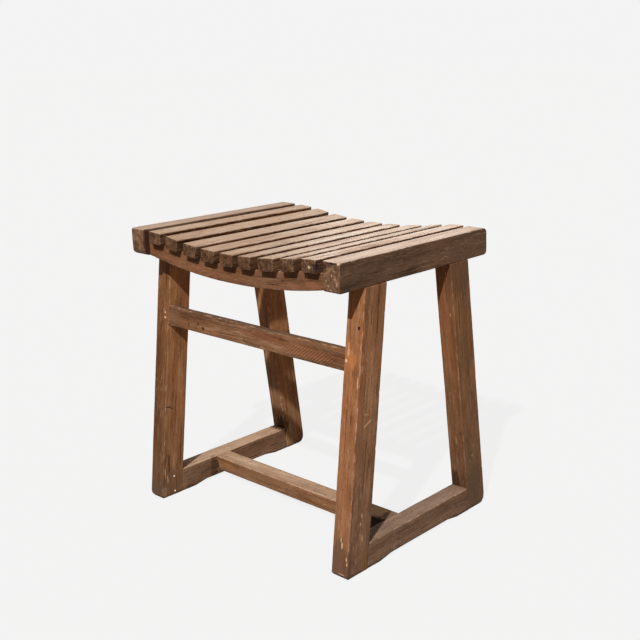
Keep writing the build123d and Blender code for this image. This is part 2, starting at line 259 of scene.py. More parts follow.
def worn_board_tree():
    """Geometry nodes for one sawn board that years of use have rounded and dented.

    The board lies along X, across Y and Z. Its grid crowds towards the arrises, which are
    rounded unevenly, and three attributes stay on it for the finishes: its own grain
    coordinates, the distance to the nearest arris and the distance to the nearest end.
    """
    sockets = {
        "Length": "Float",
        "Width": "Float",
        "Depth": "Float",
        "Steps Along": "Int",
        "Steps Across": "Int",
        "Steps Deep": "Int",
        "Arris": "Float",
        "Arris Unevenness": ARRIS_UNEVENNESS,
        "Wave Depth": WAVE_DEPTH,
        "Chip Depth": CHIP_DEPTH,
        "Seed": "Float",
        "Finish": "Material",
    }
    tree, given = growth_tree("worn_board", sockets, "Board")
    grid = {
        "Size": (2, 2, 2),
        "Vertices X": given["Steps Along"],
        "Vertices Y": given["Steps Across"],
        "Vertices Z": given["Steps Deep"],
    }
    cube = node(tree, "GeometryNodeMeshCube", grid).outputs["Mesh"]
    unit = parts_of(tree, node(tree, "GeometryNodeInputPosition").outputs[0])
    crowded = []
    for axis, crowding in enumerate(CROWDING):
        turned = math_of(tree, "SINE", times(tree, unit[axis], math.pi / 2))
        even = times(tree, unit[axis], 1 - crowding)
        crowded.append(math_of(tree, "MULTIPLY_ADD", turned, crowding, even))
    sizes = vector_from(tree, given["Length"], given["Width"], given["Depth"])
    half = vector_of(tree, "SCALE", sizes, scale=0.5)
    sharp = vector_of(tree, "MULTIPLY", vector_from(tree, *crowded), half)
    seeded = vector_of(tree, "ADD", sharp, vector_from(tree, given["Seed"], 0.0, 0.0))

    slow = figure_of(tree, seeded, (18, 45, 45))
    spread = times(tree, minus(tree, slow, 0.5), 3.2)
    uneven = math_of(tree, "MULTIPLY_ADD", spread, given["Arris Unevenness"], 1.0)
    radius = times(tree, given["Arris"], math_of(tree, "MAXIMUM", uneven, 0.25))
    room = vector_of(tree, "SUBTRACT", half, radius)
    inner = vector_of(tree, "MINIMUM", sharp, room)
    inner = vector_of(tree, "MAXIMUM", inner, vector_of(tree, "SCALE", room, scale=-1.0))
    outward = vector_of(tree, "NORMALIZE", vector_of(tree, "SUBTRACT", sharp, inner))
    rounded = vector_of(tree, "ADD", inner, vector_of(tree, "SCALE", outward, scale=radius))

    edges = vector_of(tree, "SUBTRACT", half, vector_of(tree, "ABSOLUTE", sharp))
    edge = parts_of(tree, edges)
    nearest = math_of(tree, "MINIMUM", math_of(tree, "MINIMUM", edge[0], edge[1]), edge[2])
    farthest = math_of(tree, "MAXIMUM", math_of(tree, "MAXIMUM", edge[0], edge[1]), edge[2])
    total = math_of(tree, "ADD", math_of(tree, "ADD", edge[0], edge[1]), edge[2])
    arris = minus(tree, minus(tree, total, nearest), farthest)

    long_wave = figure_of(tree, seeded, (9, 24, 24), 3.0)
    wave = times(tree, minus(tree, long_wave, 0.72), given["Wave Depth"])
    wave = math_of(tree, "MINIMUM", wave, 0.0)
    chip = figure_of(tree, seeded, (95, 230, 230), 3.0, 0.6)
    chip = step_of(tree, chip, 0.58, 0.74)
    near = minus(tree, 1.0, step_of(tree, arris, 0.0006, 0.0034))
    chip = times(tree, times(tree, chip, near), given["Chip Depth"])
    push = minus(tree, times(tree, wave, 2.0), chip)
    worn = vector_of(tree, "ADD", rounded, vector_of(tree, "SCALE", outward, scale=push))

    board = kept_as(tree, cube, "grain", "FLOAT_VECTOR", seeded)
    board = kept_as(tree, board, "arris", "FLOAT", arris)
    board = kept_as(tree, board, "butt", "FLOAT", edge[0])
    board = node(tree, "GeometryNodeSetPosition", {"Geometry": board, "Position": worn}).outputs[0]
    board = node(tree, "GeometryNodeSetShadeSmooth", {"Geometry": board}).outputs[0]
    end_growth(tree, board, given["Finish"])
    return tree


def grown(obj, tree, settings):
    """Gives an object the plain mesh that a geometry tree makes with these named inputs."""
    modifier = obj.modifiers.new("growth", "NODES")
    modifier.node_group = tree
    for item in tree.interface.items_tree:
        if item.item_type == "SOCKET" and item.in_out == "INPUT" and item.name in settings:
            modifier[item.identifier] = settings[item.name]
    graph = bpy.context.evaluated_depsgraph_get()
    evaluated = obj.evaluated_get(graph)
    mesh = bpy.data.meshes.new_from_object(evaluated, preserve_all_data_layers=True, depsgraph=graph)
    obj.modifiers.remove(modifier)
    obj.data = mesh
    mesh.name = obj.name


def shape(obj, place):
    """Moves a board's points by a function of their places along, across and deep."""
    mesh = obj.data
    points = np.zeros(len(mesh.vertices) * 3)
    mesh.vertices.foreach_get("co", points)
    along, across, deep = points.reshape(-1, 3).T
    moved = np.stack(np.broadcast_arrays(*place(along, across, deep)), axis=1)
    mesh.vertices.foreach_set("co", moved.ravel())
    mesh.update()


def timber(nodes, size, place, finish, seed, arris=0.0015):
    """One worn timber that stands for a CAD node, laid in its place by a function."""
    steps = [max(FEWEST_STEPS, int(part / GRID_STEP)) for part in size]
    settings = {"Arris": arris, "Seed": seed, "Finish": finish}
    settings.update(zip(("Length", "Width", "Depth"), size))
    settings.update(zip(("Steps Along", "Steps Across", "Steps Deep"), steps))
    obj = placed(f"{nodes}_timber", bpy.data.meshes.new(nodes))
    grown(obj, board_tree, settings)
    shape(obj, place)
    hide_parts(nodes)
    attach(obj, "root")
    return obj


def round_corner(first, second, radius):
    """Rounds an outline's corner at zero, where both distances from the sides are small."""
    inner_first = np.maximum(first, radius)
    inner_second = np.maximum(second, radius)
    away_first = first - inner_first
    away_second = second - inner_second
    reach = np.hypot(away_first, away_second)
    squeeze = np.where(reach > 0, np.minimum(1, radius / np.maximum(reach, 1e-9)), 1)
    return inner_first + away_first * squeeze, inner_second + away_second * squeeze


def housed(along, across, deep, shoulder):
    """Narrows a board past its shoulder, where it is housed in its neighbour."""
    share = 1 - HOUSED_LOSS * np.clip((np.abs(along) - shoulder) / SHOULDER_STEP, 0, 1)
    return across * share, deep * share


def seat_height(x):
    """Height of the dished seat at a distance across it."""
    steepest = 2 * DISH_DEPTH / INNER_HALF
    distance = np.abs(x)
    hollow = np.minimum(distance, DISH_TURN)
    beyond = np.maximum(distance - DISH_TURN, 0)
    rise = steepest * hollow**2 / (2 * DISH_TURN)
    rise = rise + steepest * (beyond - beyond**2 / (2 * (INNER_HALF - DISH_TURN)))
    return SEAT_TOP - DISH_START_DROP - DISH_DEPTH + rise


def seat_slope(x):
    """Slope of the dished seat at a distance across it."""
    step = 0.0001
    return (seat_height(x + step) - seat_height(x - step)) / (2 * step)


def leg_face(z):
    """Distance of a leg's outer face from the stool's middle, at a height."""
    return HALF_LENGTH - SPLAY * z


# Finishes
MILLIMETRES = 1000.0
RUST = (0.16, 0.075, 0.04)
GRIME = (0.14, 0.08, 0.05)


def srgb(red, green, blue):
    """A colour as it looks, from 0 to 255, in the scene's linear light."""
    def linear(value):
        share = value / 255
        return share / 12.92 if share <= 0.04045 else ((share + 0.055) / 1.055) ** 2.4
    return tuple(linear(value) for value in (red, green, blue))


def mixed(tree, factor, first, second, mode="MIX"):
    """Two colours mixed by a factor."""
    made = node(tree, "ShaderNodeMix", data_type="RGBA", blend_type=mode)
    for place, value in ((0, factor), (6, first), (7, second)):
        if isinstance(value, tuple):
            value = (*value, 1)
        fill(tree, made.inputs[place], value)
    return made.outputs[2]


def tones_of(tree, figure, tones):
    """A colour that runs through a finish's tones, from its dark one to its pale one."""
    made = node(tree, "ShaderNodeValToRGB", {0: figure})
    stops = made.color_ramp.elements
    for _ in tones[1:-1]:
        stops.new(0.5)
    for index, tone in enumerate(tones):
        stops[index].position = index / (len(tones) - 1)
        stops[index].color = (*tone, 1)
    return made.outputs[0]


def masked(tree, value, start, end, strength):
    """A mask that grows from start to end, up to a strength."""
    return times(tree, step_of(tree, value, start, end), strength)


def new_finish(name):
    """A new material, with its node tree and its shader."""
    material = bpy.data.materials.new(name)
    material.use_nodes = True
    return material, material.node_tree, material.node_tree.nodes["Principled BSDF"]


def old_wood(name, tones, ends, top=None, pith=(0.05, -0.06), red=0.35, streak=0.22, rub=0.5, scuff=0.24,
             grime=0.4, front=(1, 1, 1), flank=(1, 1, 1), gap_shade=(1, 1, 1), foot=(1, 1, 1),
             shade=(1, 1, 1), marks=(), scratches=(), ripple=None):
    """Old oiled timber: growth rings, fibre streaks, pores, checks, rubbed arrises and grime.

    The tones run from dark to pale, for the boards' sides, their sawn ends and, where the sun
    has bleached them, their tops. Front and flank tint the faces that look that way, partly as
    the wood's own tone and partly as painted light and shade on those faces. The gap shade
    darkens the flanks away from the ends, as painted shade between the slats. Foot tints what
    is close to the ground, shade darkens the tops towards the seat's front left as painted
    shade, and pith is the heart of the tree, across the board. Marks are stains, chips and
    worn spots, and also patches of painted shade, painted shadow, painted light and painted
    sheen, each with its centre, reach, look and strength. Scratches are thin lines, each with
    its ends, width, look and strength. A ripple is a patch of slanting cross grain, with its
    centre, reach and pitch. All of these are in millimetres.
    """
    material, tree, shader = new_finish(name)
    grain = node(tree, "ShaderNodeAttribute", attribute_name="grain").outputs["Vector"]
    arris = node(tree, "ShaderNodeAttribute", attribute_name="arris").outputs["Fac"]
    butt = node(tree, "ShaderNodeAttribute", attribute_name="butt").outputs["Fac"]

    def inverse(value):
        return minus(tree, 1.0, value)

    def both(first, second):
        return times(tree, first, second)

    def tinted(look, factor, tint):
        return mixed(tree, factor, look, tint, "MULTIPLY")

    wander = figure_of(tree, grain, (6, 10, 10), output="Color")
    wander = vector_of(tree, "SUBTRACT", wander, (0.5, 0.5, 0.5))
    fibre = vector_of(tree, "ADD", grain, vector_of(tree, "MULTIPLY", wander, (0, 0.012, 0.012)))
    split = parts_of(tree, fibre)
    across = vector_from(tree, 0.0, split[1], split[2])
    distance = vector_of(tree, "DISTANCE", across, (0.0, *pith))
    distance = math_of(tree, "MULTIPLY_ADD", split[0], 0.03, distance)
    rings = figure_of(tree, vector_from(tree, distance, split[0], 0.0), (380, 3, 0))
    rings = step_of(tree, rings, 0.36, 0.64)
    broad = figure_of(tree, fibre, (4, 70, 70), 3.0)
    streaks = step_of(tree, figure_of(tree, fibre, (8, 330, 330)), 0.36, 0.64)
    fine = step_of(tree, figure_of(tree, fibre, (26, 900, 900), 1.0), 0.34, 0.66)

    cloud = minus(tree, figure_of(tree, fibre, (22, 55, 55), 4.0, 0.6), 0.5)
    figure = math_of(tree, "MULTIPLY_ADD", cloud, 0.7, broad)
    for part, share in ((rings, 0.36), (streaks, 0.44), (fine, 0.34)):
        offset = minus(tree, part, 0.5)
        figure = math_of(tree, "MULTIPLY_ADD", offset, share * streak, figure)

    colour = tones_of(tree, figure, tones)
    redness = masked(tree, figure_of(tree, fibre, (5, 80, 80), 3.0), 0.42, 0.62, red)
    colour = tinted(colour, redness, (1.0, 0.72, 0.5))
    greyness = masked(tree, figure_of(tree, fibre, (8, 60, 60), 4.0), 0.46, 0.64, 0.45)
    colour = tinted(colour, greyness, (0.74, 0.78, 0.74))

    normal = node(tree, "ShaderNodeNewGeometry").outputs["Normal"]
    facing = parts_of(tree, normal)
    forward = step_of(tree, facing[1], -0.5, -0.88)
    sideways = step_of(tree, math_of(tree, "ABSOLUTE", facing[0]), 0.5, 0.88)
    # Painted light and shade on the faces that look forward and sideways, together with the wood's own
    # tone there
    colour = tinted(colour, forward, front)
    colour = tinted(colour, sideways, flank)
    # Painted shade on the flanks away from the ends, where the slats shade each other in the gaps
    colour = tinted(colour, both(sideways, step_of(tree, butt, 0.004, 0.03)), gap_shade)
    ragged = figure_of(tree, grain, (90, 260, 260), 3.0)
    object_place = node(tree, "ShaderNodeTexCoord").outputs["Object"]
    if top:
        bleached = tones_of(tree, figure, top)
        worn_in = math_of(tree, "MULTIPLY_ADD", ragged, 0.005, arris)
        shoulder = inverse(step_of(tree, worn_in, 0.0027, 0.0045))
        shoulder = both(shoulder, step_of(tree, parts_of(tree, grain)[2], 0.001, 0.004))
        shoulder = both(shoulder, step_of(tree, butt, 0.0, 0.0012))
        shoulder = math_of(tree, "MAXIMUM", both(shoulder, 0.75), step_of(tree, facing[2], 0.25, 0.7))
        weathered = inverse(step_of(tree, math_of(tree, "MULTIPLY_ADD", ragged, 0.02, butt), 0.012, 0.05))
        bleached = tinted(bleached, weathered, (0.90, 0.85, 0.80))
        # Painted shade: the tops are darker towards the seat's front left
        sunny = step_of(tree, vector_of(tree, "DOT_PRODUCT", object_place, (1, 0.7, 0)), -0.1, 0.1)
        bleached = tinted(bleached, inverse(sunny), shade)
        colour = mixed(tree, shoulder, colour, bleached)

    ending = inverse(step_of(tree, butt, 0.0, 0.001))
    blotch = figure_of(tree, grain, (60, 120, 120), 3.0)
    fractured = figure_of(tree, grain, (300, 380, 380), 4.0, 0.7)
    fractured = step_of(tree, math_of(tree, "MULTIPLY_ADD", blotch, 1.1, fractured), 0.62, 1.55)
    colour = mixed(tree, ending, colour, tones_of(tree, fractured, ends))

    stain = figure_of(tree, grain, (16, 70, 70), 4.0, 0.65)
    colour = tinted(colour, masked(tree, stain, 0.54, 0.66, grime), (0.5, 0.44, 0.4))
    pits = figure_of(tree, fibre, (130, 900, 900), 1.0)
    colour = tinted(colour, masked(tree, pits, 0.63, 0.7, 0.6), (0.3, 0.22, 0.17))
    check = masked(tree, figure_of(tree, fibre, (7, 420, 420), 1.0), 0.67, 0.71, 0.7)
    colour = tinted(colour, check, (0.26, 0.2, 0.16))

    bare = tuple(min(1.0, 1.2 * part + 0.05) for part in tones[-1])
    place = figure_of(tree, grain, (14, 42, 42))
    score = both(step_of(tree, figure_of(tree, fibre, (16, 520, 520), 1.0), 0.69, 0.72), scuff)
    colour = mixed(tree, score, colour, bare)
    scratch = figure_of(tree, grain, (70, 620, 620), 3.0, 0.6)
    scuffed = both(step_of(tree, scratch, 0.56, 0.62), masked(tree, place, 0.46, 0.58, scuff))
    colour = mixed(tree, scuffed, colour, bare)
    near = inverse(step_of(tree, arris, 0.0003, 0.0026))
    rubbed = both(near, masked(tree, ragged, 0.48, 0.62, rub))
    colour = mixed(tree, rubbed, colour, bare)

    height = parts_of(tree, object_place)[2]
    dusty = inverse(step_of(tree, math_of(tree, "MULTIPLY_ADD", place, 0.08, height), -0.05, 0.36))
    colour = tinted(colour, dusty, foot)
    # Painted shade along the bottom edges: the lowest few millimetres are darker
    sole = inverse(step_of(tree, math_of(tree, "MULTIPLY_ADD", ragged, -0.008, height), -0.001, 0.0015))
    colour = tinted(colour, both(sole, 0.75), (0.3, 0.26, 0.23))
    spot = vector_of(tree, "SCALE", object_place, scale=MILLIMETRES)
    for centre, reach, look, strength in marks:
        away = vector_of(tree, "DIVIDE", vector_of(tree, "SUBTRACT", spot, centre), reach)
        away = math_of(tree, "MULTIPLY_ADD", ragged, 1.6, vector_of(tree, "LENGTH", away))
        mark = masked(tree, away, 1.95, 1.45, strength)
        colour = mixed(tree, mark, colour, srgb(*look))
    for start, end, width, look, strength in scratches:
        run = Vector(end) - Vector(start)
        offset = vector_of(tree, "SUBTRACT", spot, start)
        share = vector_of(tree, "DOT_PRODUCT", offset, tuple(run))
        share = math_of(tree, "DIVIDE", share, run.length_squared, clamp=True)
        away = vector_of(tree, "DISTANCE", offset, vector_of(tree, "SCALE", tuple(run), scale=share))
        colour = mixed(tree, masked(tree, away, width, width * 0.4, strength), colour, srgb(*look))
    if ripple:
        centre, reach, pitch = ripple
        away = vector_of(tree, "DIVIDE", vector_of(tree, "SUBTRACT", spot, centre), reach)
        patch = masked(tree, vector_of(tree, "LENGTH", away), 1.15, 0.6, 0.65)
        slant = vector_of(tree, "DOT_PRODUCT", spot, (-0.64, 0.0, 0.77))
        turns = math_of(tree, "MULTIPLY_ADD", slant, math.tau / pitch, both(cloud, 5.0))
        band = step_of(tree, math_of(tree, "SINE", turns), -0.4, 0.6)
        colour = tinted(colour, both(patch, band), (0.52, 0.42, 0.36))
    tree.links.new(colour, shader.inputs["Base Color"])

    tree.links.new(math_of(tree, "MULTIPLY_ADD", fine, 0.15, 0.55), shader.inputs["Roughness"])
    relief = both(check, -1.2)
    for part, share in ((pits, -0.8), (fine, streak), (streaks, streak), (fractured, both(ending, 0.8))):
        relief = math_of(tree, "MULTIPLY_ADD", part, share, relief)
    bump = node(tree, "ShaderNodeBump", {"Height": relief, "Strength": 0.8, "Distance": 0.0006})
    tree.links.new(bump.outputs[0], shader.inputs["Normal"])
    shader.inputs["Specular IOR Level"].default_value = 0.06
    return material


def old_steel(name, colour, roughness, rust_start=0.45, rim_start=0.9):
    """Dull steel with rust in its pits, and grime round the rim of its head."""
    material, tree, shader = new_finish(name)
    object_place = node(tree, "ShaderNodeTexCoord").outputs["Object"]
    pits = figure_of(tree, object_place, (900, 900, 900), 3.0, 0.6)
    rust = step_of(tree, pits, rust_start, rust_start + 0.2)
    rim = node(tree, "ShaderNodeAttribute", attribute_name="rim").outputs["Fac"]
    grime = step_of(tree, rim, rim_start, rim_start + 0.35)
    look = mixed(tree, grime, mixed(tree, rust, colour, RUST), GRIME)
    tree.links.new(look, shader.inputs["Base Color"])
    tree.links.new(math_of(tree, "MULTIPLY_ADD", pits, 0.4, roughness), shader.inputs["Roughness"])
    shader.inputs["Metallic"].default_value = 0.9
    return material


def tones(*looks):
    """The tones of a finish, written as they look."""
    return tuple(srgb(*look) for look in looks)


BLEACHED = tones((166, 134, 111), (234, 210, 190), (247, 231, 214), (252, 245, 236))
RAIL_TOP = tones((158, 127, 105), (209, 185, 168), (226, 206, 189), (240, 229, 219))
WALKED = tones((112, 83, 63), (162, 130, 106), (184, 152, 125), (215, 187, 161))
SAWN = tones((50, 34, 23), (96, 70, 50), (142, 110, 84))
seat_wood = old_wood(
    "seat_wood",
    tones((54, 36, 25), (82, 58, 41), (106, 78, 57), (140, 108, 82)),
    tones((52, 35, 24), (90, 63, 44), (130, 96, 69)),
    BLEACHED,
    red=0.25,
    streak=0.55,
    scuff=0.6,
    rub=0.3,
    # Painted shade on the slats' flanks in the gaps between them
    gap_shade=(0.78, 0.45, 0.19),
    # Painted shade on the slat tops towards the seat's front left
    shade=(0.6, 0.51, 0.445),
    marks=(
        ((180.5, -164, 439.5), (6.5, 8, 6), (50, 38, 48), 0.85),
        ((167, -164, 437.4), (2.2, 3, 2.6), (206, 176, 144), 0.9),
    ),
)
INK = (42, 32, 38)
rail_wood = old_wood(
    "rail_wood",
    tones((54, 38, 29), (89, 67, 52), (108, 83, 65), (152, 121, 96)),
    tones((70, 50, 35), (116, 86, 64), (160, 126, 97)),
    RAIL_TOP,
    pith=(0.09, 0.01),
    red=0.2,
    streak=0.13,
    rub=0.2,
    scuff=0.27,
    flank=(1.05, 1.08, 1.1),
    # Painted shade on the rail tops towards the seat's front left
    shade=(0.66, 0.6, 0.55),
    marks=(
        ((194.5, -164, 442.5), (4.5, 5, 4.5), INK, 0.85),
        ((206.5, -164, 447.5), (10, 3, 1.6), INK, 0.9),
        ((219.6, -163, 448), (2.2, 6, 1.4), (226, 200, 172), 0.85),
        ((207.5, -164, 431.6), (1.1, 4, 2.2), (188, 156, 126), 0.85),
        ((212.7, -164, 427.7), (1.5, 4, 1.5), (182, 150, 120), 0.8),
        ((201.7, -164, 416.8), (2, 4, 1.2), (178, 146, 116), 0.8),
        ((216, -164, 421), (1.2, 4, 3), (184, 154, 124), 0.8),
        ((197.5, -164, 423.5), (1.4, 4, 1.8), (170, 136, 106), 0.7),
        ((212.2, -164, 437.5), (2.6, 4, 1.2), (168, 134, 104), 0.7),
        ((205, -164, 412), (3, 4, 1), (178, 148, 118), 0.8),
        ((201, -164, 444), (6, 4, 2.4), (70, 50, 38), 0.7),
        # Painted shade on the left rail's inner face near its front end
        ((-190, -158, 428), (3, 16, 30), (70, 42, 34), 0.85),
    ),
)


# Painted shadows on the bearers, under the slats' ends, in millimetres
SLAT_SHADOW_SHIFT = -3.5
SLAT_SHADOW_FACE = -153.5
SLAT_SHADOW_DROP = 5.0
SLAT_SHADOW_REACH = (14, 4, 7.2)


def painted_slat_shadows():
    """The painted shadows on the bearers' faces, under the slats' ends."""
    for index in range(1, SLAT_COUNT + 1):
        low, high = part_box(f"seat_slat_{index}")
        middle = (low.x + high.x) / 2
        height = (seat_height(middle) - SLAT_THICKNESS) * MILLIMETRES
        centre = (middle * MILLIMETRES + SLAT_SHADOW_SHIFT, SLAT_SHADOW_FACE, height - SLAT_SHADOW_DROP)
        yield centre, SLAT_SHADOW_REACH, (66, 36, 18), 0.6


bearer_wood = old_wood(
    "bearer_wood",
    tones((73, 47, 31), (110, 77, 54), (131, 94, 69), (165, 126, 96)),
    SAWN,
    marks=(
        # Painted shadows under each slat's end
        *painted_slat_shadows(),
        ((125, -153.5, 404.5), (14, 4, 4), (158, 102, 78), 0.3),
        ((160, -153.5, 410), (18, 4, 5), (162, 100, 78), 0.35),
    ),
)
PALE_WOOD = (214, 172, 132)
# Dark brown, for real dirt and for painted shade in corners between parts
DIRT_AND_SHADE = (34, 22, 14)
FOOT_TINT = (0.68, 0.82, 1.02)
FRONT_RIGHT_LEG_MARKS = (
    ((204.5, -125, 308), (9, 10, 14), (186, 120, 68), 0.55),
    ((198.2, -127, 322), (1.2, 10, 10), PALE_WOOD, 0.9),
    ((217.8, -130, 279), (1, 10, 9), PALE_WOOD, 0.8),
    ((213.6, -121, 352.8), (2.6, 10, 3), (40, 26, 40), 0.97),
    ((206, -160, 14), (22, 14, 44), (96, 71, 55), 0.8),
    ((215, -140, 12), (6, 30, 30), (94, 68, 55), 0.7),
    ((221, -126.2, 12), (10, 6.6, 23), (124, 92, 48), 0.7),
    ((205.9, -158, 55.4), (1, 10, 4), PALE_WOOD, 0.75),
    ((208.4, -158, 47.5), (1.3, 10, 5), PALE_WOOD, 0.85),
    ((217.7, -160, 30.2), (1.1, 10, 4), PALE_WOOD, 0.85),
    ((219, -161, 23.4), (1.2, 10, 3), PALE_WOOD, 0.8),
    ((221, -129.7, 85.8), (3, 1.6, 4.2), PALE_WOOD, 0.7),
    ((221, -133, 74.6), (3, 2, 3.2), PALE_WOOD, 0.7),
    ((221, -130.6, 52.7), (3, 1.6, 6), PALE_WOOD, 0.65),
    ((221, -144, 21.5), (3, 3, 6), (150, 118, 98), 0.6),
    ((221, -150, 12), (3, 6, 9), (136, 98, 82), 0.5),
    # Painted shade on the foot's bottom chamfer
    ((206, -163, -0.5), (22, 8, 5.6), (42, 33, 27), 0.9),
    # Painted sheen just above the foot's bottom chamfer
    ((211, -164, 6.6), (7, 4, 1), (184, 154, 130), 0.7),
)
FRONT_RIGHT_LEG_SCRATCHES = (
    ((221, -121.6, 214.2), (221, -107.9, 220.5), 1.4, (214, 170, 140), 0.9),
    ((221, -120.5, 232.5), (221, -111.5, 229.2), 1.2, (196, 148, 118), 0.8),
    ((221, -114.4, 230.1), (221, -102.9, 303.7), 1.1, (184, 136, 104), 0.7),
)
FRONT_LEFT_LEG_MARKS = (
    ((-190, -142, 24), (4, 26, 30), (106, 80, 60), 0.6),
    ((-206, -162, 12), (20, 6, 22), (86, 68, 50), 0.7),
    # Painted shade on the foot's bottom chamfer
    ((-206, -163, -0.5), (22, 8, 5.2), (42, 33, 27), 0.85),
    ((-191, -154, 44), (3, 1.4, 10), PALE_WOOD, 0.55),
    ((-191, -150, 30), (3, 1.6, 8), PALE_WOOD, 0.5),
    ((-191, -157.5, 11.5), (3, 4.5, 9), (158, 124, 94), 0.7),
    ((-191, -145.4, 58), (3, 2.2, 16), (60, 40, 26), 0.6),
)
FRONT_LEFT_LEG_SCRATCHES = (
    ((-191, -144, 154.5), (-191, -137, 153.2), 1.7, (52, 32, 20), 0.7),
    ((-191, -137, 153.2), (-191, -130, 147.8), 1.7, (52, 32, 20), 0.7),
    ((-191, -142, 151.8), (-191, -131, 145.5), 1.3, (168, 130, 98), 0.7),
)
BACK_RIGHT_LEG_MARKS = (
    ((204, 85, 300), (10, 20, 100), (160, 102, 66), 0.3),
    ((221, 95, 395), (6, 34, 40), (82, 62, 48), 0.5),
    ((221, 140, 25), (6, 40, 55), (88, 68, 54), 0.5),
    # Painted shadow where the leg meets the bottom rail
    ((199, 117, 45), (11, 12, 20), (44, 28, 20), 0.7),
    ((210.6, 74, 392.7), (1, 10, 2.2), (196, 152, 118), 0.8),
    ((214.2, 81.7, 328.7), (1, 10, 2.2), (196, 152, 118), 0.7),
    ((206.7, 107.5, 118), (1.4, 10, 8), (172, 134, 100), 0.5),
    ((221, 131.2, 91.3), (3, 2.2, 2.8), (172, 144, 120), 0.6),
    ((221, 132.3, 107.8), (3, 1.4, 3), (172, 144, 120), 0.5),
    ((221, 124.7, 82.9), (3, 1.4, 2.2), (172, 144, 120), 0.5),
)
leg_woods = {
    ("front", "right"): old_wood(
        "leg_wood_nearest",
        tones((96, 58, 36), (144, 96, 63), (165, 114, 79), (209, 161, 120)),
        SAWN,
        rub=0.35,
        flank=(0.89, 1.03, 1.2),
        foot=FOOT_TINT,
        marks=FRONT_RIGHT_LEG_MARKS,
        scratches=FRONT_RIGHT_LEG_SCRATCHES,
    ),
    ("front", "left"): old_wood(
        "leg_wood_left",
        tones((84, 52, 33), (124, 85, 56), (149, 107, 74), (195, 151, 113)),
        SAWN,
        rub=0.35,
        front=(0.66, 0.6, 0.54),
        flank=(1.42, 1.37, 1.3),
        foot=FOOT_TINT,
        marks=FRONT_LEFT_LEG_MARKS,
        scratches=FRONT_LEFT_LEG_SCRATCHES,
    ),
    ("back", "right"): old_wood(
        "leg_wood_right",
        tones((74, 44, 27), (113, 76, 51), (134, 94, 65), (176, 134, 98)),
        SAWN,
        pith=(-0.05, 0.05),
        rub=0.25,
        flank=(1.12, 1.24, 1.3),
        foot=FOOT_TINT,
        marks=BACK_RIGHT_LEG_MARKS,
    ),
    ("back", "left"): old_wood(
        "leg_wood_far",
        tones((84, 55, 37), (131, 92, 64), (157, 115, 82), (203, 160, 120)),
        SAWN,
        pith=(-0.02, 0.07),
        # Painted light on this leg's inner face, which lies in shade
        flank=(1.3, 1.2, 1.05),
        foot=FOOT_TINT,
        # Painted shadow where the leg meets the bottom rail
        marks=(((-198, 117, 45), (12, 12, 18), (40, 25, 16), 0.8),),
    ),
}
foot_rail_woods = {
    "left": old_wood(
        "foot_rail_wood_left",
        tones((70, 49, 36), (120, 90, 70), (142, 111, 88), (176, 145, 116)),
        SAWN,
        WALKED,
        red=0.25,
        streak=0.14,
        grime=0.25,
        marks=(
            # Painted shade in the corner by the cross stretcher
            ((-191, -52, 16), (10, 7, 30), DIRT_AND_SHADE, 0.5),
            ((-191, -115.8, 14.4), (10, 6, 12), (146, 116, 94), 0.6),
        ),
    ),
    "right": old_wood(
        "foot_rail_wood_right",
        tones((72, 51, 39), (110, 84, 67), (132, 104, 85), (172, 141, 115)),
        SAWN,
        tones((88, 66, 53), (126, 100, 84), (144, 118, 100), (178, 152, 132)),
        red=0.1,
        streak=0.14,
    ),
}
cross_wood = old_wood(
    "cross_wood",
    tones((76, 49, 32), (121, 86, 61), (143, 106, 77), (184, 145, 110)),
    SAWN,
    WALKED,
    marks=(
        # Painted deep shade, with dirt, in the corner by the front right leg
        ((180, -46.5, 21), (50, 6, 24), (30, 12, 0), 1.0),
        ((-160, -46.5, 29), (14, 4, 3), (166, 112, 56), 0.5),
        # Painted shade in the corner by the left bottom rail
        ((-188, -46.5, 20), (4, 4, 14), DIRT_AND_SHADE, 0.8),
        # Painted light on the top, where the front right leg's shadow falls
        ((162, -31.5, 39), (20, 20, 4), (206, 172, 142), 0.7),
        # Painted shade over a sunlit patch of the top, by the right bottom rail
        ((188, -31.5, 39), (12, 20, 4), (98, 80, 66), 0.75),
    ),
)
upper_wood = old_wood(
    "upper_wood",
    tones((60, 39, 27), (103, 73, 52), (128, 92, 66), (172, 132, 100)),
    SAWN,
    red=0.5,
    streak=0.32,
    marks=(
        ((-117.5, -127, 304), (3, 10, 2.2), DIRT_AND_SHADE, 0.8),
        ((-105.2, -127, 298.5), (4, 10, 3), DIRT_AND_SHADE, 0.8),
        ((-122, -127, 297), (2.2, 10, 1.6), DIRT_AND_SHADE, 0.7),
        ((-140, -127, 298.5), (1.6, 10, 4.5), DIRT_AND_SHADE, 0.6),
        ((-177, -126, 309), (16, 10, 16), (116, 84, 62), 0.6),
        ((30, -126, 310), (40, 10, 7), (118, 66, 46), 0.4),
        ((120, -126, 303), (50, 10, 8), (146, 98, 70), 0.5),
        # Painted shade along the top face
        ((30, -118, 322.2), (200, 30, 2.8), (96, 80, 68), 0.6),
    ),
    ripple=((128, -127, 299.5), (62, 20, 13.5), 4),
)
bright_steel = old_steel("bright_steel", (0.97, 0.92, 0.82), 0.2, 0.62, 0.55)
tarnished_steel = old_steel("tarnished_steel", (0.90, 0.66, 0.46), 0.35, 0.5)
worn_steel = old_steel("worn_steel", (0.70, 0.47, 0.36), 0.5)
rusty_steel = old_steel("rusty_steel", (0.10, 0.075, 0.06), 0.6)

board_tree = worn_board_tree()


# Seat slats
def slat_place(middle_x, middle_z, turn):
    """Where a slat's points go: along Y, tilted to follow the dish."""
    def place(along, across, deep):
        down = deep - SLAT_THICKNESS / 2
        x = middle_x - across * math.cos(turn) - down * math.sin(turn)
        z = middle_z - across * math.sin(turn) + down * math.cos(turn)
        return x, along, z
    return place


